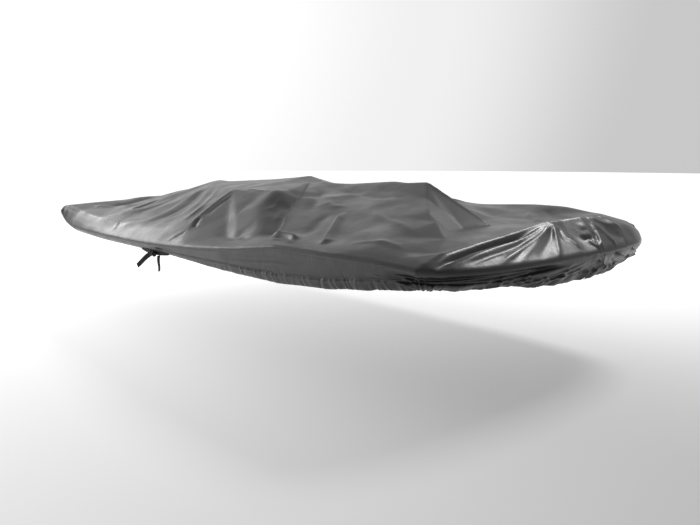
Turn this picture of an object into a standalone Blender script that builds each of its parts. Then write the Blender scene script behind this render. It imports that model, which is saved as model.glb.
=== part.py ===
"""Fitted boat cover, held up from below in its peaks and ridges.

The cover is a top panel, a gathered skirt sewn round its edge, and a webbing tie.
Sizes are in metres: +X to the bow, +Z up, the near side at -Y, heights over the floor.
Everything is then shifted so that the origin lies where the cover is held up, under its crown.
"""

import math
from collections import namedtuple

import bmesh
import bpy
import numpy as np
from mathutils import Matrix, Vector
from mathutils.bvhtree import BVHTree
from mathutils.geometry import delaunay_2d_cdt

# ---------------------------------------------------------------- driving sizes
CLOTH = 0.002  # thickness of the cloth
SEAM_GAP = 0.0008  # between two pieces that are sewn together
HELD_AT = Vector((-0.18, 0.10, 0.826))  # where the crown is held up, against its underside

STERN_X = -1.89
BOW_X = 1.725
STERN_CORNER = 0.04  # how far the stern's corners are drawn forward
BOW_CROWN = 0.06  # how far the bow curves back between its middle and its corners
BOW_CORNER = 0.11  # and at its corners

STATIONS = 64  # steps along the cover
STRIPS = 26  # steps across it
BOW_CROWDING = 0.24  # how much closer the steps lie towards the bow
EDGE_CROWDING = 0.15  # and towards the two sides

TURN_DOWN = 0.012  # the top panel's edge below the crease
SEAM_COLUMN = 15  # the step across the bow at which the skirt's ends meet

EDGE_STEP = 0.14  # between the points of the crease that the cloth is stretched from
ROUNDING = 0.018  # how far each ridge is rounded

# Half the beam at the crease.
Beam = namedtuple("Beam", "x half")
BEAMS = (
    Beam(-1.89, 0.800),
    Beam(-1.20, 0.820),
    Beam(-0.40, 0.850),
    Beam(0.40, 0.855),
    Beam(1.20, 0.845),
    Beam(1.55, 0.832),
    Beam(1.73, 0.820),
)

# Height of the crease round the top panel and of the hem on the two sides, and how far in the hem
# is drawn.
Sheer = namedtuple("Sheer", "x near_crease far_crease near_hem far_hem tuck")
SHEERS = (
    Sheer(-1.89, 0.606, 0.606, 0.452, 0.452, 0.100),
    Sheer(-1.85, 0.580, 0.582, 0.452, 0.452, 0.085),
    Sheer(-1.82, 0.564, 0.568, 0.451, 0.452, 0.074),
    Sheer(-1.78, 0.526, 0.534, 0.450, 0.452, 0.060),
    Sheer(-1.68, 0.492, 0.508, 0.446, 0.450, 0.034),
    Sheer(-1.55, 0.485, 0.500, 0.442, 0.446, 0.026),
    Sheer(-1.16, 0.479, 0.492, 0.434, 0.436, 0.022),
    Sheer(-0.64, 0.485, 0.500, 0.437, 0.432, 0.022),
    Sheer(-0.21, 0.499, 0.515, 0.436, 0.430, 0.024),
    Sheer(0.12, 0.519, 0.535, 0.427, 0.428, 0.026),
    Sheer(0.45, 0.550, 0.560, 0.424, 0.430, 0.028),
    Sheer(0.75, 0.588, 0.585, 0.420, 0.428, 0.030),
    Sheer(1.10, 0.589, 0.598, 0.441, 0.440, 0.032),
    Sheer(1.35, 0.590, 0.598, 0.473, 0.462, 0.040),
    Sheer(1.53, 0.588, 0.596, 0.494, 0.486, 0.060),
    Sheer(1.725, 0.586, 0.586, 0.460, 0.460, 0.085),
)

# Lines along which the cloth is held up, or drawn down, each from one end to the other.
Line = namedtuple("Line", "name points")
LINES = (
    Line("stern ridge", (
        (-1.84, -0.75, 0.598), (-1.85, -0.56, 0.620), (-1.85, -0.30, 0.632),
        (-1.85, 0.00, 0.638), (-1.85, 0.35, 0.632), (-1.84, 0.75, 0.598))),
    Line("near ridge", (
        (-1.84, -0.750, 0.598), (-1.65, -0.745, 0.584), (-1.31, -0.745, 0.561), (-1.04, -0.750, 0.538),
        (-0.80, -0.750, 0.542), (-0.42, -0.755, 0.561), (-0.18, -0.760, 0.576), (0.11, -0.765, 0.548),
        (0.33, -0.780, 0.562), (0.64, -0.775, 0.606), (0.98, -0.785, 0.600), (1.25, -0.770, 0.625),
        (1.45, -0.760, 0.650))),
    Line("far ridge", (
        (-1.84, 0.750, 0.598), (-1.04, 0.745, 0.566), (-0.40, 0.760, 0.575), (0.20, 0.770, 0.600),
        (0.60, 0.720, 0.655), (0.86, 0.660, 0.688), (1.06, 0.640, 0.700), (1.26, 0.600, 0.710),
        (1.45, 0.590, 0.686), (1.54, 0.600, 0.662))),
    Line("aft slope", ((-1.85, 0.00, 0.638), (-1.47, 0.00, 0.714), (-1.07, 0.00, 0.792))),
    Line("aft crown", (
        (-1.07, 0.00, 0.792), (-0.93, 0.00, 0.786), (-0.50, 0.05, 0.811), (-0.18, 0.10, 0.838))),
    Line("crown drop", ((-0.18, 0.10, 0.838), (0.06, 0.00, 0.812))),
    Line("mid ridge", ((0.06, 0.00, 0.812), (0.28, 0.00, 0.814), (0.64, 0.00, 0.840), (0.86, 0.00, 0.838))),
    Line("mid ridge end", ((0.86, 0.00, 0.838), (1.26, 0.00, 0.651))),
    Line("aft shoulder", (
        (-1.07, 0.00, 0.792), (-0.78, -0.18, 0.776), (-0.25, -0.40, 0.770), (0.04, -0.40, 0.771),
        (0.13, -0.385, 0.790), (0.12, -0.29, 0.780))),
    Line("shoulder edge", ((-0.25, -0.40, 0.770), (-0.32, -0.60, 0.622), (-0.24, -0.73, 0.580))),
    Line("shoulder fold", (
        (-0.25, -0.40, 0.770), (0.00, -0.56, 0.695), (0.18, -0.68, 0.618), (0.33, -0.78, 0.562))),
    Line("slanting ridge", (
        (-0.03, -0.02, 0.808), (0.34, -0.40, 0.754), (0.54, -0.62, 0.670), (0.66, -0.76, 0.614))),
    Line("slanting valley", (
        (0.10, -0.22, 0.768), (0.27, -0.42, 0.690), (0.43, -0.61, 0.622), (0.54, -0.74, 0.580))),
    Line("pocket", ((-0.16, -0.56, 0.640), (-0.08, -0.70, 0.558))),
    Line("mid shelf", ((0.30, -0.12, 0.775), (0.60, -0.13, 0.790), (0.80, -0.12, 0.794))),
    Line("mid break", ((0.56, -0.40, 0.722), (0.85, -0.40, 0.722), (1.08, -0.42, 0.712))),
    Line("quarter ridge", (
        (0.86, 0.00, 0.838), (0.97, -0.15, 0.768), (1.28, -0.42, 0.700), (1.46, -0.62, 0.664))),
    Line("bow flat edge", ((1.26, 0.00, 0.651), (1.28, -0.25, 0.660), (1.34, -0.42, 0.668))),
    Line("far quarter", (
        (0.86, 0.00, 0.838), (0.90, 0.18, 0.728), (0.80, 0.42, 0.700), (0.84, 0.60, 0.688))),
    Line("far foot", ((1.26, 0.00, 0.651), (1.13, 0.25, 0.660), (1.08, 0.48, 0.682))),
    Line("bow flat middle", ((1.26, 0.00, 0.651), (1.42, 0.10, 0.652), (1.40, 0.35, 0.676))),
    Line("bow ridge", (
        (1.53, -0.78, 0.622), (1.56, -0.50, 0.643), (1.57, -0.25, 0.664), (1.56, 0.00, 0.686),
        (1.55, 0.09, 0.672), (1.59, 0.20, 0.706), (1.56, 0.45, 0.686), (1.54, 0.60, 0.662),
        (1.52, 0.72, 0.640))),
    Line("bow furrow", ((1.565, -0.70, 0.580), (1.590, -0.52, 0.594), (1.595, -0.28, 0.628))),
    Line("bow fold", ((1.595, -0.71, 0.590), (1.635, -0.52, 0.608), (1.620, -0.28, 0.640))),
    Line("bow hollow", ((1.62, 0.10, 0.634), (1.66, 0.12, 0.606))),
)

# Soft folds laid on top of that shape: a ridge where rise is positive, else a trough.
Fold = namedtuple("Fold", "name points rise half_width")
FOLDS = (
    Fold("aft sweep", ((-1.00, -0.08), (-0.82, -0.46), (-0.92, -0.64), (-1.12, -0.72)), 0.014, 0.050),
    Fold("aft sweep trough", ((-0.80, -0.20), (-0.66, -0.52), (-0.80, -0.69)), -0.012, 0.045),
    Fold("aft second sweep", ((-0.62, -0.30), (-0.52, -0.60), (-0.62, -0.74)), 0.009, 0.045),
    Fold("stern trough", ((-1.72, -0.20), (-1.40, -0.40), (-1.10, -0.42)), -0.012, 0.060),
    Fold("stern pull", ((-1.76, -0.66), (-1.52, -0.50), (-1.24, -0.46)), 0.008, 0.050),
    Fold("mid near pull", ((0.66, -0.36), (0.80, -0.60), (0.98, -0.78)), 0.010, 0.045),
    Fold("mid near dent", ((0.95, -0.50), (1.10, -0.66)), -0.008, 0.060),
    Fold("far aft pull", ((-0.90, 0.12), (-0.60, 0.50), (-0.30, 0.74)), 0.012, 0.060),
    Fold("far mid pull", ((0.10, 0.10), (0.36, 0.44), (0.44, 0.70)), -0.012, 0.060),
)

# Rows of the skirt, from its seam to its hem: share of the way down, how far it stands out, and the shares
# of the tuck and of the gathers that show there.
Row = namedtuple("Row", "down out tuck gathers")
ROWS = (
    Row(0.00, 0.000, 0.00, 0.0),
    Row(0.18, 0.000, 0.00, 0.0),
    Row(0.64, 0.001, 0.44, 0.6),
    Row(0.86, 0.006, 0.66, 1.0),
    Row(1.00, 0.000, 1.00, 1.0),
)

# Depth of the gathers along the skirt, by position along the near side and round the bow.
Gather = namedtuple("Gather", "x near far")
GATHERS = (
    Gather(-1.85, 0.0020, 0.0030),
    Gather(-1.20, 0.0010, 0.0030),
    Gather(-0.20, 0.0005, 0.0030),
    Gather(0.20, 0.0030, 0.0040),
    Gather(1.00, 0.0060, 0.0060),
    Gather(1.73, 0.0100, 0.0100),
)
GATHER_PITCH = 0.105
GATHER_DRIFT = 0.41  # metres over which the gathers crowd and spread

# The tie: a band of webbing along the near hem, its knot, and the two tails that hang from the knot.
WEBBING_WIDTH = 0.022
WEBBING = 0.0015
BAND_ENDS = (-0.57, -0.22)
BAND_LIFT = 0.002  # how far its middle lies above the hem
BAND_END_WIDTH = 0.35  # the band's width where it goes in behind the hem, as a share of the webbing's
KNOT_AT = (-0.385, 0.424)  # x and height
KNOT_SIZE = (0.052, 0.018, 0.026)
Tail = namedtuple("Tail", "name leaves runs length droop turn")
TIE_GAP = 0.0004  # between the tie's pieces, and from the band to the hem
TAILS = (
    Tail("tie_tail_long", (-0.66, -0.30, -0.69), (-0.62, -0.42, -0.66), 0.115, 0.006, 0.0),
    Tail("tie_tail_short", (0.52, -0.30, -0.80), (0.30, -0.20, -0.93), 0.070, 0.004, 0.7),
)

CLOTH_COLOUR = (0.150, 0.150, 0.153, 1.0)
SKIRT_COLOUR = (0.115, 0.110, 0.113, 1.0)
WEBBING_COLOUR = (0.008, 0.008, 0.008, 1.0)


# ---------------------------------------------------------------- outline
def read(table, x, column):
    """A column of a table at x."""
    return np.interp(x, [row.x for row in table], [getattr(row, column) for row in table])


def stern_edge(t):
    """The stern's x at a share t across, from -1 on the near side to 1."""
    return STERN_X + STERN_CORNER * np.abs(t) ** 10


def bow_edge(t):
    """The bow's x at a share t across."""
    return BOW_X - BOW_CROWN * t**2 - BOW_CORNER * np.abs(t) ** 6


def plan(along, across):
    """The point of the plan at shares 0..1 along and -1..1 across."""
    middle = STERN_X + (BOW_X - STERN_X) * along
    x = stern_edge(across) * (1 - along) + bow_edge(across) * along
    return x, across * read(BEAMS, middle, "half")


def near_edge(x):
    """The y of the near crease at x."""
    along = (x - stern_edge(1.0)) / (bow_edge(1.0) - stern_edge(1.0))
    return float(plan(along, -1.0)[1])


def side_share(y):
    """0 on the near side and 1 on the far one."""
    return np.clip(0.5 + y / 1.7, 0.0, 1.0)


def level(x, y, near, far):
    """A height or size that a table gives on the two sides, at (x, y)."""
    share = side_share(y)
    return read(SHEERS, x, near) * (1 - share) + read(SHEERS, x, far) * share


# ---------------------------------------------------------------- the stretched cloth
def crease_ring():
    """Points of the crease, all the way round."""
    ends, sides = 9, round((BOW_X - STERN_X) / EDGE_STEP)
    shares = [(i / sides, -1.0) for i in range(sides)]
    shares += [(1.0, 2 * j / ends - 1) for j in range(ends)]
    shares += [(1 - i / sides, 1.0) for i in range(sides)]
    shares += [(0.0, 1 - 2 * j / ends) for j in range(ends)]
    flat = [tuple(map(float, plan(*share))) for share in shares]
    return [Vector((x, y, float(level(x, y, "near_crease", "far_crease")))) for x, y in flat]


def stretched():
    """Flat facets between the crease and the lines, as a tree to be sampled from above."""
    points = crease_ring()
    edges = [(k, (k + 1) % len(points)) for k in range(len(points))]
    for line in LINES:
        start = len(points)
        points += [Vector(p) for p in line.points]
        edges += [(start + k, start + k + 1) for k in range(len(line.points) - 1)]
    flat = [p.to_2d() for p in points]
    corners, _, faces, origins, _, _ = delaunay_2d_cdt(flat, edges, [], 0, 0.0005)
    solid = []
    for corner, origin in zip(corners, origins):
        if not origin:
            raise ValueError(f"two lines cross at {corner}")
        solid.append(Vector((corner.x, corner.y, points[origin[0]].z)))
    return BVHTree.FromPolygons(solid, faces)


def walk(points, step):
    """Evenly spaced points along a line, with the share of the way to each."""
    points = [Vector(p) for p in points]
    lengths = [(b - a).length for a, b in zip(points, points[1:])]
    total, done = sum(lengths), 0.0
    for a, b, length in zip(points, points[1:], lengths):
        count = max(1, math.ceil(length / step))
        for i in range(count):
            share = i / count
            yield a.lerp(b, share), (done + length * share) / total
        done += length
    yield points[-1], 1.0


class Sheet:
    """The height of the cloth over the plan: stretched between its lines and its edge, with its folds."""

    def __init__(self):
        self.facets = stretched()
        self.folds = []
        for fold in FOLDS:
            steps = list(walk([(x, y, 0.0) for x, y in fold.points], fold.half_width / 3))
            self.folds.append((fold, steps))

    def facet_height(self, x, y):
        hit = self.facets.ray_cast(Vector((x, y, 2.0)), Vector((0.0, 0.0, -1.0)))[0]
        return hit.z if hit else float(level(x, y, "near_crease", "far_crease"))

    def fold_height(self, x, y):
        """The folds at (x, y), each with a round top and fading at its two ends."""
        total = 0.0
        for fold, steps in self.folds:
            best = 0.0
            for point, share in steps:
                far = ((x - point.x) ** 2 + (y - point.y) ** 2) / fold.half_width**2
                if far < 6:
                    best = max(best, math.exp(-far) * math.sqrt(math.sin(math.pi * share)))
            total += fold.rise * best
        return total

    def __call__(self, x, y):
        """The height at (x, y)."""
        total = 2 * self.facet_height(x, y)
        for k in range(6):
            turn = math.tau * k / 6
            total += self.facet_height(x + ROUNDING * math.cos(turn), y + ROUNDING * math.sin(turn))
        return total / 8 + self.fold_height(x, y)


# ---------------------------------------------------------------- grid of the plan
def along_at(i):
    """The share along the cover of station i, closer together towards the bow."""
    s = i / STATIONS
    return s + BOW_CROWDING * s * (1 - s) * (0.4 + s)


def across_at(j):
    """The share across of strip j, closer together towards the sides."""
    u = 2 * j / STRIPS - 1
    return u * (1 + EDGE_CROWDING) - EDGE_CROWDING * u**3


def edge_steps():
    """The grid's edge as (i, j), from the skirt's seam in the bow round by the far side."""
    bow = [(STATIONS, j) for j in range(STRIPS + 1)]
    far = [(i, STRIPS) for i in range(STATIONS - 1, 0, -1)]
    stern = [(0, j) for j in range(STRIPS, -1, -1)]
    near = [(i, 0) for i in range(1, STATIONS)]
    ring = bow + far + stern + near
    return ring[SEAM_COLUMN:] + ring[:SEAM_COLUMN]


def edge_points():
    """Each edge step's place in plan and its direction outwards."""
    flat = [Vector((*map(float, plan(along_at(i), across_at(j))), 0.0)) for i, j in edge_steps()]
    ring = []
    for k, point in enumerate(flat):
        ahead = flat[(k + 1) % len(flat)] - flat[k - 1]
        ring.append((point, Vector((ahead.y, -ahead.x, 0.0)).normalized()))
    return ring


# ---------------------------------------------------------------- making objects
def material(name, colour, roughness):
    made = bpy.data.materials.new(name)
    made.use_nodes = True
    shader = made.node_tree.nodes["Principled BSDF"]
    shader.inputs["Base Color"].default_value = colour
    shader.inputs["Roughness"].default_value = roughness
    shader.inputs["Metallic"].default_value = 0.0
    return made


def add_object(name, bm, look, collection):
    """Puts a bmesh into the collection, shifted to where the cover is held up."""
    bmesh.ops.translate(bm, verts=bm.verts, vec=-HELD_AT)
    mesh = bpy.data.meshes.new(name)
    bm.to_mesh(mesh)
    bm.free()
    mesh.shade_smooth()
    mesh.materials.append(look)
    made = bpy.data.objects.new(name, mesh)
    collection.objects.link(made)
    return made


def thicken(made, thickness):
    """Gives an open sheet its thickness, on its inner side."""
    solid = made.modifiers.new("thickness", "SOLIDIFY")
    solid.thickness = thickness
    solid.offset = -1.0
    solid.use_even_offset = False
    return made


# ---------------------------------------------------------------- the pieces
def top_panel(sheet, look, collection):
    """The cloth inside the crease, with its edge turned down past it."""
    bm = bmesh.new()
    grid = {}
    for i in range(STATIONS + 1):
        for j in range(STRIPS + 1):
            x, y = map(float, plan(along_at(i), across_at(j)))
            rim = i in (0, STATIONS) or j in (0, STRIPS)
            z = float(level(x, y, "near_crease", "far_crease")) if rim else sheet(x, y)
            grid[i, j] = bm.verts.new((x, y, z))
    for i in range(STATIONS):
        for j in range(STRIPS):
            bm.faces.new((grid[i, j], grid[i + 1, j], grid[i + 1, j + 1], grid[i, j + 1]))
    steps = edge_steps()
    upper = [grid[step] for step in steps]
    lower = []
    for vert in upper:
        lower.append(bm.verts.new(vert.co - Vector((0, 0, TURN_DOWN))))
    for k in range(len(upper)):
        n = (k + 1) % len(upper)
        bm.faces.new((upper[k], lower[k], lower[n], upper[n]))
    bmesh.ops.recalc_face_normals(bm, faces=bm.faces)
    return thicken(add_object("top_panel", bm, look, collection), CLOTH)


def gather(distance, point):
    """How far the hem bulges out at a distance round the cover."""
    share = float(side_share(point.y))
    near, far = (float(read(GATHERS, point.x, side)) for side in ("near", "far"))
    depth = near * (1 - share) + far * share
    drift = 0.7 * math.sin(distance * math.tau / GATHER_DRIFT)
    return depth * math.sin(distance * math.tau / GATHER_PITCH + drift)


def skirt_columns():
    """The skirt's columns as (place at the crease, direction outwards, distance round the cover)."""
    ring = edge_points()
    ring.append(ring[0])
    columns, distance = [], 0.0
    for (a, out_a), (b, out_b) in zip(ring, ring[1:]):
        for share in (0.0, 0.5):
            columns.append((a.lerp(b, share), out_a.lerp(out_b, share), distance + (b - a).length * share))
        distance += (b - a).length
    last, out = ring[-1]
    columns.append((last, out, distance))
    return columns


def crease_height(point):
    return float(level(point.x, point.y, "near_crease", "far_crease"))


def hem_height(point):
    return float(level(point.x, point.y, "near_hem", "far_hem"))


def skirt(look, collection):
    """One strip all the way round, its ends meeting at the seam in the bow."""
    bm = bmesh.new()
    columns = skirt_columns()
    made = []
    for k, (point, out, distance) in enumerate(columns):
        before, after = columns[max(k - 1, 0)], columns[min(k + 1, len(columns) - 1)]
        top = (crease_height(before[0]) + crease_height(after[0])) / 2 if k % 2 else crease_height(point)
        top -= TURN_DOWN + SEAM_GAP
        drop = top - hem_height(point)
        tuck = float(read(SHEERS, point.x, "tuck"))
        along = (after[0] - before[0]).normalized()
        ends = (SEAM_GAP / 2) * ((k == 0) - (k == len(columns) - 1))
        column = []
        for row in ROWS:
            away = row.out + gather(distance, point) * row.gathers - tuck * row.tuck
            place = point + out * away + along * ends
            column.append(bm.verts.new((place.x, place.y, top - drop * row.down)))
        made.append(column)
    for a, b in zip(made, made[1:]):
        for r in range(len(ROWS) - 1):
            bm.faces.new((a[r], a[r + 1], b[r + 1], b[r]))
    bmesh.ops.recalc_face_normals(bm, faces=bm.faces)
    return thicken(add_object("skirt", bm, look, collection), CLOTH)


def ribbon(name, centres, widths, look, collection):
    """A flat strap along its centre points, each with the vector across its width."""
    bm = bmesh.new()
    rows = [[bm.verts.new(c + w / 2), bm.verts.new(c - w / 2)] for c, w in zip(centres, widths)]
    for a, b in zip(rows, rows[1:]):
        bm.faces.new((a[0], a[1], b[1], b[0]))
    solid = thicken(add_object(name, bm, look, collection), WEBBING)
    solid.modifiers["thickness"].offset = 0.0
    return solid


def hem_face(x):
    """How far out the near hem's casing stands at x."""
    row = ROWS[3]
    return row.out - float(read(SHEERS, x, "tuck")) * row.tuck + float(read(GATHERS, x, "near"))


def tie_band(look, collection):
    """Webbing along the near hem, narrowing to where it goes in behind the casing."""
    steps = 12
    start, end = BAND_ENDS
    centres, widths = [], []
    for k in range(steps + 1):
        share = k / steps
        x = start + (end - start) * share
        out = hem_face(x) + TIE_GAP + WEBBING / 2
        centres.append(Vector((x, near_edge(x) - out, float(read(SHEERS, x, "near_hem")) + BAND_LIFT)))
        size = BAND_END_WIDTH + (1 - BAND_END_WIDTH) * math.sin(math.pi * share)
        widths.append(Vector((0, 0, WEBBING_WIDTH * size)))
    return ribbon("tie_band", centres, widths, look, collection)


def knot_centre():
    """The knot lies against the band's outer face."""
    x, z = KNOT_AT
    out = hem_face(x) + 2 * TIE_GAP + WEBBING + KNOT_SIZE[1] / 2
    return Vector((x, near_edge(x) - out, z))


def tie_knot(look, collection):
    bm = bmesh.new()
    bmesh.ops.create_uvsphere(bm, u_segments=16, v_segments=10, radius=0.5)
    bmesh.ops.scale(bm, verts=bm.verts, vec=KNOT_SIZE)
    bmesh.ops.translate(bm, verts=bm.verts, vec=knot_centre())
    return add_object("tie_knot", bm, look, collection)


def tie_tail(tail, look, collection):
    """A free end of the webbing, leaving the knot's face and sagging a little."""
    steps = 6
    leaves = Vector(tail.leaves).normalized()
    start = knot_centre() + Vector([n * size / 2 for n, size in zip(leaves, KNOT_SIZE)])
    runs = Vector(tail.runs).normalized()
    start += leaves * (WEBBING / 2 + TIE_GAP)
    across = runs.cross(Vector((0, 1, 0))).normalized()
    centres, widths = [], []
    for k in range(steps + 1):
        share = k / steps
        centres.append(start + runs * (tail.length * share) - Vector((0, 0, tail.droop * share**2)))
        turned = Matrix.Rotation(tail.turn * share, 3, runs) @ across
        widths.append(turned * WEBBING_WIDTH)
    return ribbon(tail.name, centres, widths, look, collection)


def main():
    for old in list(bpy.data.objects):
        bpy.data.objects.remove(old)
    collection = bpy.data.collections.new("boat_cover")
    bpy.context.scene.collection.children.link(collection)
    cloth = material("coated_cloth", CLOTH_COLOUR, 0.45)
    side = material("skirt_cloth", SKIRT_COLOUR, 0.50)
    webbing = material("black_webbing", WEBBING_COLOUR, 0.80)
    sheet = Sheet()
    top_panel(sheet, cloth, collection)
    skirt(side, collection)
    tie_band(webbing, collection)
    tie_knot(webbing, collection)
    for tail in TAILS:
        tie_tail(tail, webbing, collection)


main()
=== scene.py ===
import math
from collections import namedtuple
from random import Random

import bpy
import numpy as np
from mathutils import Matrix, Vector, noise
from mathutils.bvhtree import BVHTree
from mathutils.geometry import delaunay_2d_cdt


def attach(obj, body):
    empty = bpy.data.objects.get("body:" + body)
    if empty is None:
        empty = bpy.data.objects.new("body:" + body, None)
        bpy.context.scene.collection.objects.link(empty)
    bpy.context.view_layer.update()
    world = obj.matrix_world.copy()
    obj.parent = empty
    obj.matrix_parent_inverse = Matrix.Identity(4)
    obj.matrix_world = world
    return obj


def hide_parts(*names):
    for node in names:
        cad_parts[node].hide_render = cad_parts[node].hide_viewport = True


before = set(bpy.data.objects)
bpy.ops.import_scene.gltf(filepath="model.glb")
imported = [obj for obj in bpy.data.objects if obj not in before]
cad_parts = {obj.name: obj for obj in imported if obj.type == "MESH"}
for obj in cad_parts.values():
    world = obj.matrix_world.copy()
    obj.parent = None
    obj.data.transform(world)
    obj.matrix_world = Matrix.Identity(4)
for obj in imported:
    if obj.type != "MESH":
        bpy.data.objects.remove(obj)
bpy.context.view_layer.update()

# ---------------------------------------------------------------- studio
# A pale floor, the camera at the picture's angle, and a soft light beyond the stern, with a second
# one high on the far side of the bow that gives the coated cloth its sheen.
FLOOR_Z = -0.826
FLOOR_SIZE = 60.0
DIM_SIDE = (5.0, -0.3, 0.0)  # the floor's painted glow is faintest here, out beyond the bow
CAMERA_AT = (3.431, -2.736, 0.168)
CAMERA_TURN = (math.pi / 2 - 0.156, 0.0, 0.843)
CAMERA_LENS = 36.895
CAMERA_SENSOR = 36.0

Lamp = namedtuple("Lamp", "name place aims_at power width height")
LAMPS = (
    Lamp("stern_softbox", (-5.6, -1.3, 1.5), (-1.4, -0.6, -0.25), 64.0, 3.4, 1.8),
    Lamp("bow_softbox", (1.5, 2.9, 3.0), (1.4, 0.0, -0.2), 68.0, 1.6, 1.0),
)


def add_lamp(lamp):
    """A rectangular soft light, turned towards the point that it lights."""
    data = bpy.data.lights.new(lamp.name, "AREA")
    data.shape = "RECTANGLE"
    data.size = lamp.width
    data.size_y = lamp.height
    data.energy = lamp.power
    made = bpy.data.objects.new(lamp.name, data)
    bpy.context.scene.collection.objects.link(made)
    made.location = lamp.place
    towards = Vector(lamp.aims_at) - Vector(lamp.place)
    made.rotation_euler = towards.to_track_quat("-Z", "Y").to_euler()


def deselect():
    for thing in bpy.context.selected_objects:
        thing.select_set(False)


camera_data = bpy.data.cameras.new("camera")
camera_data.lens = CAMERA_LENS
camera_data.sensor_width = CAMERA_SENSOR
camera = bpy.data.objects.new("camera", camera_data)
camera.location = CAMERA_AT
camera.rotation_euler = CAMERA_TURN
bpy.context.scene.collection.objects.link(camera)
bpy.context.scene.camera = camera

for lamp in LAMPS:
    add_lamp(lamp)

# The surround is white beyond the stern and falls off to a dim grey beyond the bow.
BRIGHT_SIDE = Vector((-0.93, 0.28, 0.22)).normalized()
SURROUND = (
    (0.00, 0.20), (0.30, 0.20), (0.52, 0.32), (0.74, 0.58), (0.84, 0.58), (0.93, 0.88), (1.00, 1.10))
world = bpy.data.worlds.new("studio")
world.use_nodes = True
nodes, links = world.node_tree.nodes, world.node_tree.links
direction = nodes.new("ShaderNodeTexCoord")
facing = nodes.new("ShaderNodeVectorMath")
facing.operation = "DOT_PRODUCT"
facing.inputs[1].default_value = BRIGHT_SIDE
links.new(direction.outputs["Generated"], facing.inputs[0])
half_turn = nodes.new("ShaderNodeMath")
half_turn.operation = "MULTIPLY_ADD"
half_turn.inputs[1].default_value = 0.5
half_turn.inputs[2].default_value = 0.5
links.new(facing.outputs["Value"], half_turn.inputs[0])
brightness = nodes.new("ShaderNodeValToRGB")
brightness.color_ramp.interpolation = "EASE"
while len(brightness.color_ramp.elements) < len(SURROUND):
    brightness.color_ramp.elements.new(0.5)
for stop, (share, strength) in zip(brightness.color_ramp.elements, SURROUND):
    stop.position = share
    stop.color = (strength, strength, strength, 1.0)
links.new(half_turn.outputs["Value"], brightness.inputs["Fac"])
links.new(brightness.outputs["Color"], nodes["Background"].inputs["Color"])
# It is brightest near the horizon.
upright = nodes.new("ShaderNodeSeparateXYZ")
links.new(direction.outputs["Generated"], upright.inputs["Vector"])
falloff = nodes.new("ShaderNodeMapRange")
falloff.interpolation_type = "SMOOTHSTEP"
falloff.inputs["From Min"].default_value = 0.16
falloff.inputs["From Max"].default_value = 0.70
falloff.inputs["To Min"].default_value = 1.0
falloff.inputs["To Max"].default_value = 0.60
links.new(upright.outputs["Z"], falloff.inputs["Value"])
links.new(falloff.outputs["Result"], nodes["Background"].inputs["Strength"])
bpy.context.scene.world = world
bpy.context.scene.view_settings.view_transform = "Standard"

deselect()
bpy.ops.mesh.primitive_circle_add(
    vertices=96, radius=FLOOR_SIZE / 2, fill_type="NGON", location=(0.0, 0.0, FLOOR_Z))
floor = bpy.context.object
floor.name = "floor"
floor_look = bpy.data.materials.new("floor")
floor_look.use_nodes = True
nodes, links = floor_look.node_tree.nodes, floor_look.node_tree.links
floor_shader = nodes["Principled BSDF"]
floor_shader.inputs["Base Color"].default_value = (0.80, 0.80, 0.80, 1.0)
floor_shader.inputs["Roughness"].default_value = 0.9
floor_shader.inputs["Specular IOR Level"].default_value = 0.1
floor_shader.inputs["Emission Color"].default_value = (1.0, 1.0, 1.0, 1.0)
# Painted light: the floor glows, faintly round DIM_SIDE and more brightly farther off.
place = nodes.new("ShaderNodeTexCoord")
distance = nodes.new("ShaderNodeVectorMath")
distance.operation = "DISTANCE"
distance.inputs[1].default_value = DIM_SIDE
links.new(place.outputs["Object"], distance.inputs[0])
glow = nodes.new("ShaderNodeMapRange")
glow.inputs["From Min"].default_value = 2.0
glow.inputs["From Max"].default_value = 6.5
glow.inputs["To Min"].default_value = 0.10
glow.inputs["To Max"].default_value = 0.85
links.new(distance.outputs["Value"], glow.inputs["Value"])
links.new(glow.outputs["Result"], floor_shader.inputs["Emission Strength"])
floor.data.materials.append(floor_look)

# ---------------------------------------------------------------- top panel: cut and height
# One panel of smooth coated polyester, cut to the outline and sewn to the skirt along a crease.
# It is drawn tight between its edge and the ridges that hold it up, so it lies in flat facets.
HELD_AT = Vector((-0.18, 0.10, 0.826))  # where it is held up, in sizes measured from the floor

STERN_X = -1.905
BOW_X = 1.725
LENGTH = 3.6
WIDTH = 1.7
STERN_CORNER = 0.034
BOW_CROWN = 0.06
BOW_CORNER = 0.11
FAR_CUT = 0.030  # the bow's far corner is cut back this much more

Beam = namedtuple("Beam", "x half")
BEAMS = (
    Beam(-1.89, 0.800),
    Beam(-1.20, 0.820),
    Beam(-0.40, 0.850),
    Beam(0.40, 0.855),
    Beam(1.20, 0.845),
    Beam(1.55, 0.832),
    Beam(1.73, 0.820),
)

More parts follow.
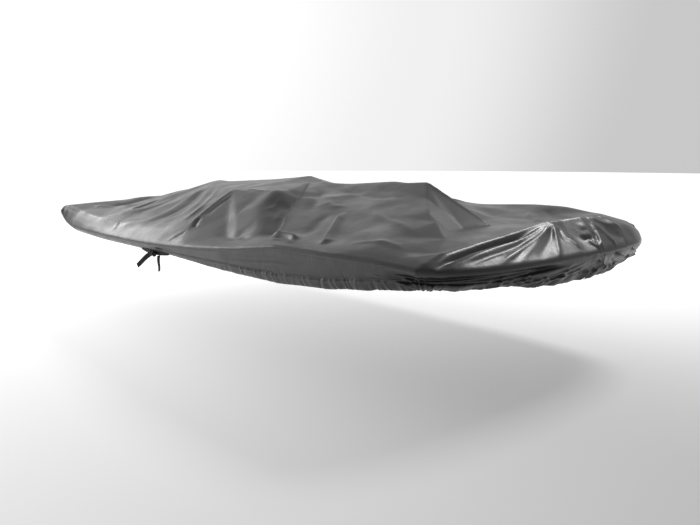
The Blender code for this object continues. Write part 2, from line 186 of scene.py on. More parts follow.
# Height of the crease and of the hem on the two sides, and how far in the hem is drawn.
Sheer = namedtuple("Sheer", "x near_crease far_crease near_hem far_hem tuck")
SHEERS = (
    Sheer(-1.90, 0.594, 0.592, 0.452, 0.452, 0.100),
    Sheer(-1.86, 0.578, 0.576, 0.452, 0.452, 0.085),
    Sheer(-1.83, 0.552, 0.556, 0.451, 0.452, 0.074),
    Sheer(-1.78, 0.520, 0.530, 0.450, 0.452, 0.060),
    Sheer(-1.68, 0.492, 0.508, 0.446, 0.450, 0.034),
    Sheer(-1.55, 0.485, 0.500, 0.442, 0.446, 0.026),
    Sheer(-1.16, 0.479, 0.492, 0.434, 0.436, 0.022),
    Sheer(-0.64, 0.485, 0.500, 0.437, 0.432, 0.022),
    Sheer(-0.21, 0.499, 0.515, 0.436, 0.430, 0.024),
    Sheer(0.12, 0.519, 0.535, 0.424, 0.428, 0.026),
    Sheer(0.45, 0.550, 0.560, 0.417, 0.430, 0.028),
    Sheer(0.75, 0.588, 0.585, 0.416, 0.428, 0.030),
    Sheer(1.10, 0.589, 0.598, 0.441, 0.440, 0.028),
    Sheer(1.35, 0.588, 0.597, 0.473, 0.462, 0.030),
    Sheer(1.53, 0.580, 0.592, 0.490, 0.486, 0.050),
    Sheer(1.62, 0.570, 0.584, 0.486, 0.506, 0.064),
    Sheer(1.69, 0.568, 0.581, 0.484, 0.474, 0.066),
    Sheer(1.71, 0.567, 0.580, 0.490, 0.440, 0.066),
    Sheer(1.725, 0.567, 0.580, 0.450, 0.440, 0.066),
)

# Lines along which the cloth is held up, or drawn down, each from one end to the other.
Line = namedtuple("Line", "name points")
LINES = (
    Line("stern ridge", (
        (-1.862, -0.775, 0.61), (-1.868, -0.56, 0.622), (-1.862, -0.3, 0.633), (-1.86, 0.0, 0.639),
        (-1.86, 0.35, 0.633), (-1.855, 0.75, 0.6))),
    Line("near ridge", (
        (-1.862, -0.775, 0.61), (-1.78, -0.77, 0.598), (-1.65, -0.76, 0.578), (-1.31, -0.762, 0.553),
        (-1.04, -0.765, 0.533), (-0.8, -0.762, 0.538), (-0.42, -0.76, 0.56), (-0.18, -0.76, 0.562),
        (0.11, -0.765, 0.554), (0.33, -0.78, 0.562), (0.64, -0.775, 0.606), (0.98, -0.785, 0.607),
        (1.25, -0.77, 0.624), (1.44, -0.768, 0.61))),
    Line("far ridge", (
        (-1.855, 0.75, 0.6), (-1.04, 0.745, 0.566), (-0.4, 0.76, 0.575), (0.2, 0.77, 0.6),
        (0.6, 0.72, 0.684), (0.86, 0.66, 0.702), (1.06, 0.64, 0.714), (1.26, 0.6, 0.716),
        (1.45, 0.59, 0.691), (1.54, 0.6, 0.668))),
    Line("aft slope", ((-1.86, 0.0, 0.639), (-1.47, 0.0, 0.714), (-1.07, 0.0, 0.792))),
    Line("aft crown", ((-1.07, 0.0, 0.792), (-0.93, 0.0, 0.786), (-0.5, 0.05, 0.811), (-0.18, 0.1, 0.838))),
    Line("crown drop", ((-0.18, 0.1, 0.838), (0.06, 0.0, 0.812))),
    Line("mid ridge", ((0.06, 0.0, 0.812), (0.28, 0.0, 0.814), (0.64, 0.0, 0.84), (0.86, 0.0, 0.838))),
    Line("mid ridge end", ((0.86, 0.0, 0.838), (1.298, -0.05, 0.658))),
    Line("aft shoulder", (
        (-1.07, 0.0, 0.792), (-0.78, -0.18, 0.776), (-0.25, -0.4, 0.77), (0.04, -0.4, 0.771),
        (0.13, -0.385, 0.79), (0.12, -0.29, 0.78))),
    Line("shoulder crest", (
        (-0.25, -0.4, 0.77), (-0.25, -0.528, 0.699), (-0.221, -0.653, 0.629), (-0.2, -0.735, 0.583))),
    Line("shoulder pocket", (
        (-0.114, -0.523, 0.696), (-0.021, -0.595, 0.651), (0.103, -0.68, 0.598), (0.215, -0.748, 0.556))),
    Line("shoulder fold", (
        (-0.25, -0.4, 0.77), (-0.031, -0.532, 0.7), (0.082, -0.603, 0.659), (0.245, -0.713, 0.592),
        (0.3, -0.76, 0.557))),
    Line("shoulder face", (
        (0.04, -0.4, 0.771), (0.202, -0.524, 0.724), (0.318, -0.605, 0.675), (0.42, -0.689, 0.625),
        (0.47, -0.752, 0.59))),
    Line("slanting ridge", (
        (-0.03, -0.02, 0.808), (0.226, -0.27, 0.773), (0.313, -0.37, 0.745), (0.398, -0.48, 0.706),
        (0.504, -0.6, 0.67), (0.629, -0.745, 0.612))),
    Line("slanting valley", (
        (0.15, -0.21, 0.765), (0.235, -0.31, 0.736), (0.318, -0.42, 0.696), (0.423, -0.54, 0.657),
        (0.546, -0.685, 0.597))),
    Line("mid shelf", ((0.3, -0.12, 0.766), (0.6, -0.13, 0.78), (0.8, -0.12, 0.788))),
    Line("mid break", ((0.56, -0.4, 0.716), (0.85, -0.4, 0.714), (1.08, -0.42, 0.706))),
    Line("near flat", (
        (0.78, -0.66, 0.634), (1.02, -0.665, 0.636), (1.25, -0.665, 0.652), (1.38, -0.65, 0.64))),
    Line("quarter ridge", (
        (0.86, 0.0, 0.838), (0.993, -0.145, 0.768), (1.156, -0.315, 0.727), (1.268, -0.385, 0.696),
        (1.4, -0.48, 0.646), (1.49, -0.64, 0.612))),
    Line("quarter valley", (
        (0.86, 0.0, 0.838), (0.935, -0.05, 0.801), (1.099, -0.18, 0.732), (1.133, -0.182, 0.714),
        (1.151, -0.15, 0.704), (1.256, -0.199, 0.65))),
    Line("quarter foot", ((1.133, -0.182, 0.714), (1.302, -0.34, 0.652), (1.4, -0.48, 0.646))),
    Line("bow flat edge", (
        (1.298, -0.05, 0.658), (1.256, -0.199, 0.65), (1.335, -0.3, 0.648), (1.4, -0.48, 0.646))),
    Line("far quarter", (
        (0.86, 0.0, 0.838), (0.91, 0.11, 0.738), (0.88, 0.25, 0.705), (0.8, 0.42, 0.698),
        (0.84, 0.6, 0.688))),
    Line("far foot", ((1.298, -0.05, 0.658), (1.08, 0.13, 0.65), (1.04, 0.3, 0.656), (1.08, 0.48, 0.674))),
    Line("bow flat middle", (
        (1.298, -0.05, 0.658), (1.34, 0.1, 0.648), (1.34, 0.35, 0.66), (1.3, 0.5, 0.682))),
    Line("bow ridge", (
        (1.56, -0.775, 0.597), (1.56, -0.67, 0.624), (1.56, -0.5, 0.639), (1.56, -0.33, 0.656),
        (1.56, -0.125, 0.682), (1.56, -0.015, 0.697), (1.56, 0.09, 0.697), (1.58, 0.2, 0.704),
        (1.56, 0.45, 0.69), (1.54, 0.6, 0.668), (1.53, 0.72, 0.648), (1.545, 0.765, 0.63))),
    Line("tip ridge", (
        (1.6, 0.36, 0.672), (1.628, 0.45, 0.652), (1.627, 0.566, 0.642), (1.595, 0.7, 0.618))),
    Line("bow face", ((1.6, -0.68, 0.602), (1.64, -0.5, 0.612), (1.64, -0.3, 0.622))),
    Line("bow hollow", ((1.61, 0.06, 0.646), (1.65, 0.08, 0.612))),
)
EDGE_STEP = 0.05
END_STEPS = 18
MERGE_WITHIN = 0.0005

# The lines that stay crisp; the cloth is rounder the farther it lies from them.
CRISP = (
    "slanting ridge", "mid ridge end", "crown drop", "bow ridge", "quarter ridge", "quarter valley",
    "shoulder fold")
ROUND_AT_RIDGE = 0.005
ROUND_AWAY = 0.042
ROUND_SLOPE = 0.30
ROUND_AT_EDGE = 0.003
ROUND_FROM_EDGE = 0.6
SAMPLE_FROM = 2.0

# The places round a point whose heights are averaged, as shares of the rounding's reach.
Ring = namedtuple("Ring", "size count turn weight")
RINGS = (Ring(0.0, 1, 0.0, 3.0), Ring(0.5, 6, 0.0, 2.0), Ring(1.0, 8, 0.5, 1.0))


def read(table, x, column):
    """A column of a table at x."""
    return np.interp(x, [row.x for row in table], [getattr(row, column) for row in table])


def stern_edge(t):
    return STERN_X + STERN_CORNER * np.abs(t) ** 10


def bow_edge(t):
    return BOW_X - BOW_CROWN * t**2 - BOW_CORNER * np.abs(t) ** 6 - FAR_CUT * np.clip(t, 0.0, 1.0) ** 3


def plan(along, across):
    """The points of the outline's plan at shares 0..1 along and -1..1 across."""
    middle = STERN_X + (BOW_X - STERN_X) * along
    x = stern_edge(across) * (1 - along) + bow_edge(across) * along
    return x, across * read(BEAMS, middle, "half")


def level(x, y, near, far):
    """A height or size that a table gives on the two sides, at (x, y)."""
    share = np.clip(0.5 + y / WIDTH, 0.0, 1.0)
    return read(SHEERS, x, near) * (1 - share) + read(SHEERS, x, far) * share


def crease_ring():
    sides = round((BOW_X - STERN_X) / EDGE_STEP)
    ends = [-math.cos(math.pi * j / END_STEPS) for j in range(END_STEPS)]
    shares = [(i / sides, -1.0) for i in range(sides)]
    shares += [(1.0, t) for t in ends]
    shares += [(1 - i / sides, 1.0) for i in range(sides)]
    shares += [(0.0, -t) for t in ends]
    flat = [tuple(map(float, plan(*share))) for share in shares]
    return [Vector((x, y, float(level(x, y, "near_crease", "far_crease")))) for x, y in flat]


def facets():
    """Flat facets between the crease and the lines, as a tree to be sampled from above."""
    points = crease_ring()
    edges = [(k, (k + 1) % len(points)) for k in range(len(points))]
    for line in LINES:
        start = len(points)
        points += [Vector(p) for p in line.points]
        edges += [(start + k, start + k + 1) for k in range(len(line.points) - 1)]
    flat = [p.to_2d() for p in points]
    corners, _, faces, origins, _, _ = delaunay_2d_cdt(flat, edges, [], 0, MERGE_WITHIN)
    solid = [Vector((c.x, c.y, points[o[0]].z)) for c, o in zip(corners, origins)]
    return BVHTree.FromPolygons(solid, faces)


def away_from(points, xs, ys):
    """Distance of each place from a line drawn through the points."""
    nearest = np.full(len(xs), 1e9)
    for (ax, ay, _), (bx, by, _) in zip(points, points[1:]):
        length = math.hypot(bx - ax, by - ay)
        ux, uy = (bx - ax) / length, (by - ay) / length
        t = np.clip((xs - ax) * ux + (ys - ay) * uy, 0.0, length)
        nearest = np.minimum(nearest, np.hypot(xs - ax - t * ux, ys - ay - t * uy))
    return nearest


def stretched_heights(xs, ys, inwards):
    """The stretched cloth's height over each place, rounded a little over two rings of neighbours."""
    tree = facets()
    down = Vector((0.0, 0.0, -1.0))
    crisp = np.minimum.reduce([away_from(line.points, xs, ys) for line in LINES if line.name in CRISP])
    reach = np.minimum(ROUND_AWAY, ROUND_AT_RIDGE + ROUND_SLOPE * crisp)
    reach = np.minimum(reach, ROUND_AT_EDGE + ROUND_FROM_EDGE * inwards)
    spots = []
    for about in RINGS:
        for k in range(about.count):
            angle = math.tau * (k + about.turn) / about.count
            spots.append((about.size * math.cos(angle), about.size * math.sin(angle), about.weight))
    rim = level(xs, ys, "near_crease", "far_crease")
    weights = sum(weight for _, _, weight in spots)
    heights = np.empty(len(xs))
    for n, (x, y, size) in enumerate(zip(xs, ys, reach)):
        total = 0.0
        for dx, dy, weight in spots:
            hit = tree.ray_cast(Vector((x + dx * size, y + dy * size, SAMPLE_FROM)), down)[0]
            total += weight * (hit.z if hit else rim[n])
        heights[n] = total / weights
    return heights


# ---------------------------------------------------------------- top panel: folds
# Where the cloth is pulled it stands in soft ridges and narrow troughs, which run out from the
# peaks and along the edge. Each one is listed, and those of the far side are guessed.
Fold = namedtuple("Fold", "name points rise wide_from wide_to crisp lean fade_in fade_out")
FOLDS = (
    # aft, from the first peak down to the edge
    Fold("aft sweep", (
        (-1.02, -0.06), (-0.86, -0.27), (-0.77, -0.45), (-0.73, -0.57), (-0.79, -0.67), (-1.02, -0.75)),
        0.007, 0.036, 0.042, 2.0, 0.3, 0.3, 0.1),
    Fold("aft sweep trough", (
        (-0.96, -0.14), (-0.72, -0.38), (-0.64, -0.54), (-0.68, -0.66), (-0.84, -0.735)),
        -0.005, 0.024, 0.028, 2.0, 0.0, 0.3, 0.2),
    Fold("aft second", ((-0.83, -0.19), (-0.6, -0.41), (-0.5, -0.55), (-0.52, -0.66), (-0.62, -0.73)),
         0.0055, 0.024, 0.032, 1.8, 0.2, 0.2, 0.15),
    Fold("aft second trough", ((-0.72, -0.24), (-0.5, -0.45), (-0.41, -0.58), (-0.44, -0.69)),
         -0.005, 0.02, 0.028, 2.0, 0.0, 0.25, 0.2),
    Fold("aft third", ((-0.58, -0.3), (-0.42, -0.46), (-0.33, -0.6), (-0.35, -0.71)),
         0.008, 0.014, 0.02, 1.8, 0.2, 0.2, 0.2),
    Fold("stern drag", ((-1.2, -0.34), (-1.18, -0.46), (-1.22, -0.57), (-1.38, -0.6)),
         -0.006, 0.022, 0.03, 2.0, 0.3, 0.3, 0.3),
    Fold("stern drag ridge", ((-1.08, -0.3), (-1.06, -0.44), (-1.12, -0.56), (-1.3, -0.66)),
         0.006, 0.025, 0.035, 2.0, 0.0, 0.3, 0.3),
    Fold("stern pull", ((-1.76, -0.6), (-1.55, -0.5), (-1.36, -0.44)),
         0.008, 0.02, 0.04, 2.0, 0.0, 0.1, 0.4),
    Fold("stern hollow", ((-1.7, -0.58), (-1.66, -0.4), (-1.66, -0.1), (-1.68, 0.25)),
         -0.024, 0.07, 0.09, 2.0, 0.0, 0.2, 0.35),
    Fold("edge nick", ((-1.045, -0.735), (-1.0, -0.77), (-0.97, -0.81)),
         -0.0034, 0.006, 0.005, 1.3, 0.4, 0.25, 0.25),
    Fold("edge nick ridge", ((-1.075, -0.735), (-1.03, -0.77), (-1.0, -0.81)),
         0.002, 0.01, 0.008, 1.6, 0.0, 0.25, 0.25),
    Fold("second nick", ((-0.17, -0.755), (-0.2, -0.8), (-0.22, -0.84)),
         -0.0034, 0.006, 0.005, 1.3, 0.4, 0.25, 0.25),
    Fold("second nick ridge", ((-0.2, -0.75), (-0.235, -0.8), (-0.25, -0.84)),
         0.002, 0.01, 0.008, 1.6, 0.0, 0.25, 0.25),
    # the shoulder
    Fold("shoulder crest fold", ((-0.26, -0.41), (-0.252, -0.528), (-0.225, -0.653), (-0.205, -0.72)),
         0.005, 0.009, 0.012, 1.5, -0.3, 0.02, 0.15),
    Fold("shoulder crest trough", ((-0.19, -0.45), (-0.195, -0.54), (-0.18, -0.645)),
         -0.005, 0.014, 0.02, 1.8, 0.0, 0.15, 0.25),
    Fold("crest wedge", ((-0.205, -0.65), (-0.18, -0.69), (-0.14, -0.73)),
         -0.01, 0.009, 0.012, 1.6, 0.2, 0.2, 0.3),
    Fold("shoulder foot", ((0.34, -0.764), (0.38, -0.755), (0.43, -0.764)),
         -0.007, 0.014, 0.016, 1.8, 0.2, 0.25, 0.3),
    Fold("shelf lip", ((-0.16, -0.37), (0.0, -0.385), (0.11, -0.395)),
         0.006, 0.01, 0.012, 1.4, 0.2, 0.1, 0.2),
    Fold("dark wrinkle", ((0.2, -0.4), (0.27, -0.5), (0.26, -0.58)),
         0.005, 0.008, 0.012, 1.4, 0.2, 0.3, 0.5),
    Fold("dark second wrinkle", ((0.3, -0.46), (0.38, -0.55), (0.44, -0.63)),
         0.004, 0.008, 0.012, 1.4, 0.2, 0.3, 0.5),
    # the slanting ridge and its pouch
    Fold("slant crisp", (
        (-0.02, -0.03), (0.226, -0.27), (0.313, -0.37), (0.398, -0.48), (0.504, -0.6), (0.62, -0.735)),
        0.004, 0.008, 0.008, 1.4, 0.3, 0.1, 0.05),
    Fold("slant right hollow", ((0.2, -0.12), (0.4, -0.32), (0.58, -0.53)),
         -0.01, 0.025, 0.035, 2.0, 0.0, 0.35, 0.35),
    Fold("pouch top", ((0.59, -0.735), (0.67, -0.731), (0.75, -0.744), (0.81, -0.772)),
         0.016, 0.013, 0.015, 1.8, 0.2, 0.05, 0.25),
    Fold("pouch crease", ((0.63, -0.762), (0.71, -0.765), (0.79, -0.785)),
         -0.009, 0.009, 0.01, 1.6, 0.2, 0.2, 0.3),
    Fold("pouch lip", ((0.64, -0.79), (0.73, -0.785), (0.84, -0.8)),
         0.006, 0.01, 0.012, 1.8, 0.0, 0.2, 0.3),
    # the middle
    Fold("mid sweep", ((0.72, -0.42), (0.8, -0.53), (0.9, -0.66), (1.0, -0.78)),
         0.013, 0.014, 0.024, 1.8, 0.4, 0.25, 0.1),
    Fold("mid sweep hollow", ((0.66, -0.46), (0.73, -0.6), (0.82, -0.72)),
         -0.006, 0.024, 0.034, 2.0, 0.0, 0.25, 0.4),
    Fold("mid bulge", ((0.46, -0.3), (0.56, -0.37), (0.7, -0.38)), 0.008, 0.02, 0.03, 2.0, 0.0, 0.4, 0.4),
    Fold("mid shelf fold", ((0.28, -0.08), (0.5, -0.15), (0.74, -0.2), (0.9, -0.16)),
         -0.007, 0.02, 0.03, 2.0, 0.2, 0.3, 0.3),
    Fold("mid lower fold", ((0.86, -0.36), (0.98, -0.44), (1.16, -0.5), (1.34, -0.56)),
         0.007, 0.015, 0.03, 2.0, 0.0, 0.3, 0.4),
    Fold("mid patch", ((1.06, -0.6), (1.2, -0.7), (1.3, -0.74)), -0.003, 0.02, 0.03, 2.0, 0.0, 0.4, 0.4),
    Fold("near corner rise", ((1.12, -0.74), (1.28, -0.7), (1.42, -0.72)),
         0.006, 0.018, 0.024, 1.8, 0.0, 0.3, 0.3),
    # the third peak
    Fold("bow side crisp", ((0.87, 0.0), (1.0, -0.016), (1.14, -0.032), (1.285, -0.049)),
         0.004, 0.01, 0.01, 1.6, 0.0, 0.03, 0.1),
    Fold("flat fold", ((1.33, -0.02), (1.43, -0.12), (1.5, -0.22)), 0.004, 0.015, 0.03, 2.0, 0.2, 0.3, 0.4),
    # the bow face, drawn between its ridge and the corners
    Fold("bow ridge line", (
        (1.552, -0.76), (1.552, -0.67), (1.556, -0.5), (1.558, -0.33), (1.56, -0.14), (1.558, 0.0)),
        0.003, 0.008, 0.006, 1.5, 0.2, 0.2, 0.1),
    Fold("bow furrow", (
        (1.6, -0.79), (1.594, -0.72), (1.586, -0.6), (1.582, -0.43), (1.582, -0.25), (1.572, -0.09)),
        -0.026, 0.009, 0.013, 2.0, 0.0, 0.25, 0.35),
    Fold("bow second ridge", (
        (1.612, -0.755), (1.622, -0.66), (1.62, -0.55), (1.606, -0.33), (1.592, -0.18), (1.57, -0.05)),
        0.006, 0.009, 0.007, 1.6, -0.2, 0.3, 0.1),
    Fold("bow second trough", ((1.63, -0.7), (1.64, -0.55), (1.63, -0.36), (1.6, -0.16)),
         -0.008, 0.011, 0.008, 1.8, 0.0, 0.45, 0.3),
    Fold("bow third ridge", (
        (1.688, -0.52), (1.672, -0.43), (1.651, -0.325), (1.615, -0.16), (1.575, -0.025)),
        0.008, 0.009, 0.006, 1.4, 0.3, 0.2, 0.1),
    Fold("glossy left", ((1.573, 0.0), (1.61, -0.12), (1.65, -0.25), (1.7, -0.42)),
         0.005, 0.006, 0.011, 1.5, 0.3, 0.05, 0.2),
    Fold("glossy middle", ((1.573, 0.0), (1.62, -0.08), (1.665, -0.19), (1.705, -0.3)),
         -0.004, 0.006, 0.016, 2.0, 0.0, 0.1, 0.2),
    Fold("glossy right", ((1.573, 0.005), (1.618, -0.045), (1.655, -0.085), (1.7, -0.14), (1.717, -0.17)),
         0.009, 0.005, 0.009, 1.2, -0.3, 0.05, 0.2),
    Fold("bow crescent", ((1.59, 0.02), (1.618, -0.005), (1.642, -0.02), (1.665, -0.01)),
         -0.008, 0.006, 0.009, 1.6, 0.2, 0.15, 0.3),
    Fold("bow second crescent", ((1.64, 0.01), (1.668, 0.018), (1.7, 0.012)),
         0.005, 0.007, 0.009, 1.6, 0.2, 0.2, 0.3),
    Fold("bow patch", ((1.64, 0.0), (1.68, 0.02), (1.71, 0.05)), 0.005, 0.008, 0.012, 1.8, 0.0, 0.3, 0.3),
    # the knob under the cloth and the folds that run from it
    Fold("knob", ((1.596, 0.172), (1.614, 0.164), (1.63, 0.16)), 0.004, 0.018, 0.013, 2.0, 0.0, 0.5, 0.3),
    Fold("knob ring", ((1.634, 0.108), (1.652, 0.122), (1.662, 0.146), (1.656, 0.172)),
         -0.01, 0.008, 0.01, 2.0, 0.0, 0.35, 0.35),
    Fold("right long fold", ((1.572, 0.262), (1.617, 0.266), (1.65, 0.279), (1.692, 0.292), (1.712, 0.3)),
         0.011, 0.008, 0.012, 1.5, 0.3, 0.15, 0.15),
    Fold("right long trough", ((1.62, 0.315), (1.655, 0.36), (1.668, 0.43)),
         -0.007, 0.022, 0.026, 2.0, 0.0, 0.25, 0.3),
    Fold("right inner fold", ((1.6, 0.245), (1.647, 0.231), (1.687, 0.197), (1.712, 0.16)),
         0.009, 0.007, 0.009, 1.5, 0.2, 0.2, 0.15),
    Fold("right inner trough", ((1.645, 0.205), (1.672, 0.185), (1.692, 0.168)),
         -0.006, 0.009, 0.009, 2.0, 0.0, 0.25, 0.3),
    Fold("seam fold", ((1.66, 0.132), (1.69, 0.138), (1.714, 0.15)),
         0.006, 0.008, 0.009, 1.6, 0.2, 0.2, 0.15),
    Fold("right outer fold", ((1.575, 0.285), (1.592, 0.32), (1.612, 0.37), (1.625, 0.45)),
         0.006, 0.009, 0.012, 1.6, 0.2, 0.15, 0.3),
    Fold("right far fold", ((1.56, 0.38), (1.61, 0.43), (1.65, 0.47)),
         0.006, 0.01, 0.014, 1.6, 0.2, 0.15, 0.3),
    # the far side
    Fold("far aft pull", ((-0.9, 0.12), (-0.6, 0.5), (-0.3, 0.74)), 0.012, 0.02, 0.06, 2.0, 0.2, 0.1, 0.2),
    Fold("far aft trough", ((-0.75, 0.12), (-0.42, 0.45), (-0.14, 0.72)),
         -0.012, 0.02, 0.05, 2.0, 0.0, 0.2, 0.2),
    Fold("far crown pull", ((-0.16, 0.13), (0.02, 0.42), (0.1, 0.72)),
         0.012, 0.012, 0.04, 1.7, 0.3, 0.7, 0.2),
    Fold("far crown second", ((-0.2, 0.14), (-0.26, 0.4), (-0.38, 0.66)),
         0.01, 0.01, 0.035, 1.8, 0.2, 0.05, 0.3),
    Fold("far mid trough", ((0.16, 0.1), (0.36, 0.44), (0.44, 0.7)),
         -0.012, 0.02, 0.05, 2.0, 0.0, 0.2, 0.2),
    Fold("far mid pull", ((0.6, 0.05), (0.58, 0.34), (0.66, 0.62)),
         0.012, 0.015, 0.045, 1.8, 0.3, 0.15, 0.25),
    Fold("far stern pull", ((-1.8, 0.55), (-1.5, 0.42), (-1.2, 0.22)),
         0.009, 0.02, 0.045, 2.0, 0.0, 0.15, 0.3),
    Fold("far stern second", ((-1.78, 0.3), (-1.45, 0.3), (-1.1, 0.5), (-0.9, 0.7)),
         -0.01, 0.03, 0.045, 2.0, 0.0, 0.25, 0.25),
    Fold("far bow fold", ((1.1, 0.52), (1.22, 0.36), (1.4, 0.24), (1.52, 0.2)),
         0.008, 0.02, 0.024, 2.0, 0.3, 0.25, 0.25),
    Fold("far bow trough", ((1.16, 0.56), (1.32, 0.44), (1.48, 0.36)),
         -0.007, 0.02, 0.02, 2.0, 0.0, 0.25, 0.25),
)


def smooth_path(points, steps):
    """Points of a smooth curve through the given ones."""
    p = np.array(points, float)
    p = np.vstack((2 * p[0] - p[1], p, 2 * p[-1] - p[-2]))
    out = []
    for a, b, c, d in zip(p, p[1:], p[2:], p[3:]):
        for k in range(steps):
            t = k / steps
            out.append(0.5 * (2 * b + (c - a) * t + (2 * a - 5 * b + 4 * c - d) * t**2
                              + (3 * b - a - 3 * c + d) * t**3))
    out.append(p[-2])
    return np.array(out)


FOLD_REACH = 3.0  # past this many of its widths a fold adds nothing that shows


def fold_heights(folds, xs, ys, steps=5):
    """All the folds' heights at each point. A fold has its own width on each side, and fades at its ends."""
    total = np.zeros(len(xs))
    for fold in folds:
        path = smooth_path(fold.points, steps)
        lengths = np.hypot(*np.diff(path, axis=0).T)
        done = np.concatenate(([0.0], np.cumsum(lengths))) / lengths.sum()
        reach = FOLD_REACH * max(fold.wide_from, fold.wide_to)
        low, high = path.min(axis=0) - reach, path.max(axis=0) + reach
        inside = np.nonzero((xs > low[0]) & (xs < high[0]) & (ys > low[1]) & (ys < high[1]))[0]
        if not len(inside):
            continue
        x, y = xs[inside], ys[inside]
        nearest = np.full(len(inside), 1e9)
        share = np.zeros(len(inside))
        side = np.zeros(len(inside))
        for (ax, ay), (bx, by), length, at in zip(path, path[1:], lengths, done):
            ux, uy = (bx - ax) / length, (by - ay) / length
            t = np.clip((x - ax) * ux + (y - ay) * uy, 0.0, length)
            dx, dy = x - ax - t * ux, y - ay - t * uy
            away = np.hypot(dx, dy)
            closer = away < nearest
            nearest = np.where(closer, away, nearest)
            share = np.where(closer, at + t / lengths.sum(), share)
            side = np.where(closer, np.sign(ux * dy - uy * dx), side)
        width = fold.wide_from + (fold.wide_to - fold.wide_from) * share
        width = width * (1 + fold.lean * side)
        begins = np.minimum(1.0, share / max(fold.fade_in, 1e-6))
        ends = np.minimum(1.0, (1 - share) / max(fold.fade_out, 1e-6))
        fade = begins * ends
        fade = fade * fade * (3 - 2 * fade)
        total[inside] += fold.rise * fade * np.exp(-((nearest / width) ** fold.crisp))
    return total


# ---------------------------------------------------------------- top panel: mesh
# The panel is one sheet. Its rim rolls over the edge that it is pulled across, and turns down to
# the seam.
STATIONS = 400
STRIPS = 216
ROLL = 0.010
TURN_DOWN = 0.018
SEWN_EDGE = 0.012  # within this of its edge the panel comes down to the crease

# How the stations are spread along the panel: close together at the stern's edge and at the bow.
SPREAD = (
    (0.00, 0.000), (0.07, 0.022), (0.14, 0.070), (0.55, 0.570), (0.70, 0.760), (0.84, 0.915),
    (1.00, 1.000))
DENSE_ACROSS = 0.60
THIN_ACROSS = 1.7


def crowded(share, dense_from, thin_to):
    """Shares from 0 to 1 that lie closer together towards 1."""
    return dense_from * share + (1 - dense_from) * (1 - (1 - share) ** thin_to)


def flat_grid(name, x_steps, y_steps):
    """A flat grid from -1 to 1 each way, and the places of its points."""
    deselect()
    bpy.ops.mesh.primitive_grid_add(x_subdivisions=x_steps, y_subdivisions=y_steps, size=2.0)
    made = bpy.context.object
    made.name = name
    places = np.empty(len(made.data.vertices) * 3)
    made.data.vertices.foreach_get("co", places)
    return made, places.reshape(-1, 3)


def shape_grid(made, places):
    """Moves a grid's points to places that are measured from the floor."""
    made.data.vertices.foreach_set("co", (places - np.array(HELD_AT)).reshape(-1))
    made.data.update()


top, places = flat_grid("top_cloth", STATIONS, STRIPS)
along = np.interp((places[:, 0] + 1) / 2, *zip(*SPREAD))
across = places[:, 1]
across = 2 * crowded(1 - (across + 1) / 2, DENSE_ACROSS, THIN_ACROSS) - 1
across = -across
xs, ys = plan(along, across)
half = read(BEAMS, STERN_X + (BOW_X - STERN_X) * along, "half")
inwards = np.minimum.reduce((half * (1 - np.abs(across)), along * LENGTH, (1 - along) * LENGTH))
held = np.clip(inwards / SEWN_EDGE, 0.0, 1.0)
zs = stretched_heights(xs, ys, inwards) + fold_heights(FOLDS, xs, ys)
zs = zs * held + level(xs, ys, "near_crease", "far_crease") * (1 - held)
roll = np.clip(1 - inwards / ROLL, 0.0, 1.0)
zs = zs - ROLL * (1 - np.sqrt(np.clip(1 - roll**2, 0.0, 1.0)))
shape_grid(top, np.stack((xs, ys, zs), axis=1))

bpy.ops.object.mode_set(mode="EDIT")
bpy.ops.mesh.select_mode(type="EDGE")
bpy.ops.mesh.select_all(action="DESELECT")
bpy.ops.mesh.select_non_manifold()
bpy.ops.mesh.extrude_region_move(TRANSFORM_OT_translate={"value": (0.0, 0.0, ROLL - TURN_DOWN)})
bpy.ops.mesh.select_all(action="SELECT")
bpy.ops.mesh.normals_make_consistent(inside=False)
bpy.ops.object.mode_set(mode="OBJECT")
bpy.ops.object.shade_smooth()


Cloth = namedtuple("Cloth", "colour pale mottle roughness worn crumple")
TOP_LOOK = Cloth((0.036, 0.036, 0.0375, 1.0), (0.050, 0.050, 0.0515, 1.0), 3.0, 0.30, 0.42, 0.30)
# The skirt's colours are darker than the top's: painted shade for its hanging sides.
SKIRT_SHADED_LOOK = Cloth((0.010, 0.009, 0.010, 1.0), (0.019, 0.017, 0.0185, 1.0), 5.0, 0.27, 0.40, 0.40)
CRUMPLE_SCALE = 26.0
GRAIN_SCALE = 170.0
THREAD_SCALE = 420.0


